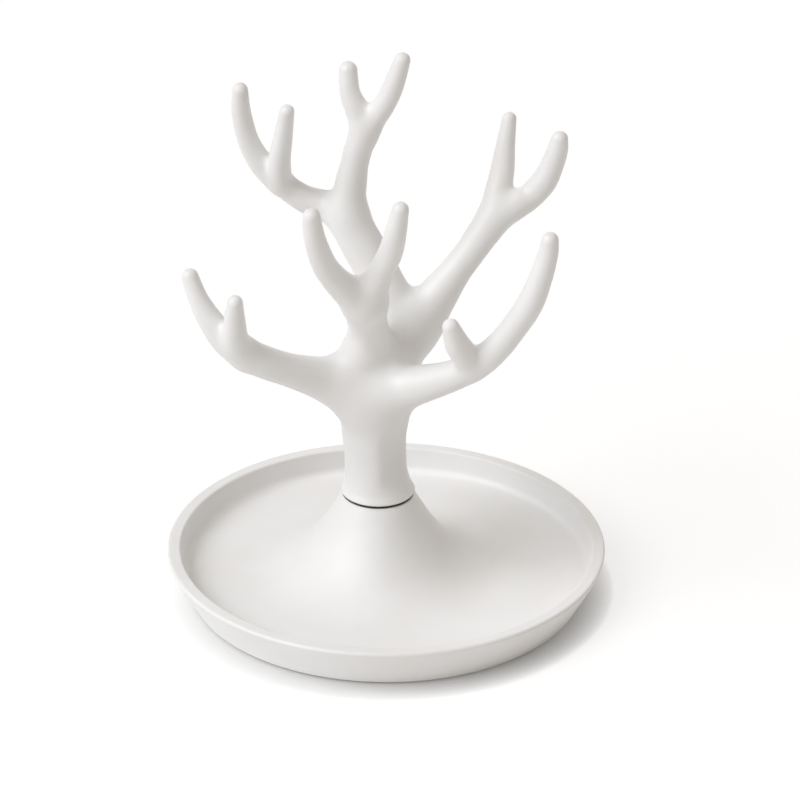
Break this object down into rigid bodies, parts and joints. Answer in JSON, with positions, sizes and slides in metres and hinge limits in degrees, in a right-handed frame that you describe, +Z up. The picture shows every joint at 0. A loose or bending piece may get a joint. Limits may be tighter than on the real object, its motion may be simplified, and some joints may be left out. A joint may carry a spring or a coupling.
{
  "type": "jewelry stand",
  "caption": "Round ceramic dish with a flared boss that holds a branching antler-shaped tree for rings and earrings; the tree turns and lifts out.",
  "frame": {"origin": "on the surface the stand rests on, under the centre of the round dish", "axes": "+Z up along the trunk; seen from the front, +X is to the right and +Y goes away from the viewer, so the two forward limbs reach towards -Y"},
  "size_m": [0.1, 0.1, 0.1298],
  "materials": {
    "ceramic": "satin",
    "black_rubber": "matte",
    "grey_rubber": "matte"
  },
  "bodies": {
    "base": {"tray": "ceramic", "seam_washer": "black_rubber", "foot_pad_1": "grey_rubber", "foot_pad_2": "grey_rubber", "foot_pad_3": "grey_rubber", "foot_pad_4": "grey_rubber"},
    "grip_rings": {"upper_grip_ring": "black_rubber", "lower_grip_ring": "black_rubber"},
    "tree": {"antler_tree": "ceramic"}
  },
  "joints": [
    {"name": "tree_lift", "type": "slide", "parent": "base", "child": "grip_rings", "axis": [0, 0, 1], "range_m": [0, 0.02]},
    {"name": "tree_turn", "type": "hinge", "parent": "grip_rings", "child": "tree", "pos_m": [-0.0019, 0, 0.0252], "axis": [0, 0, 1], "continuous": true}
  ]
}
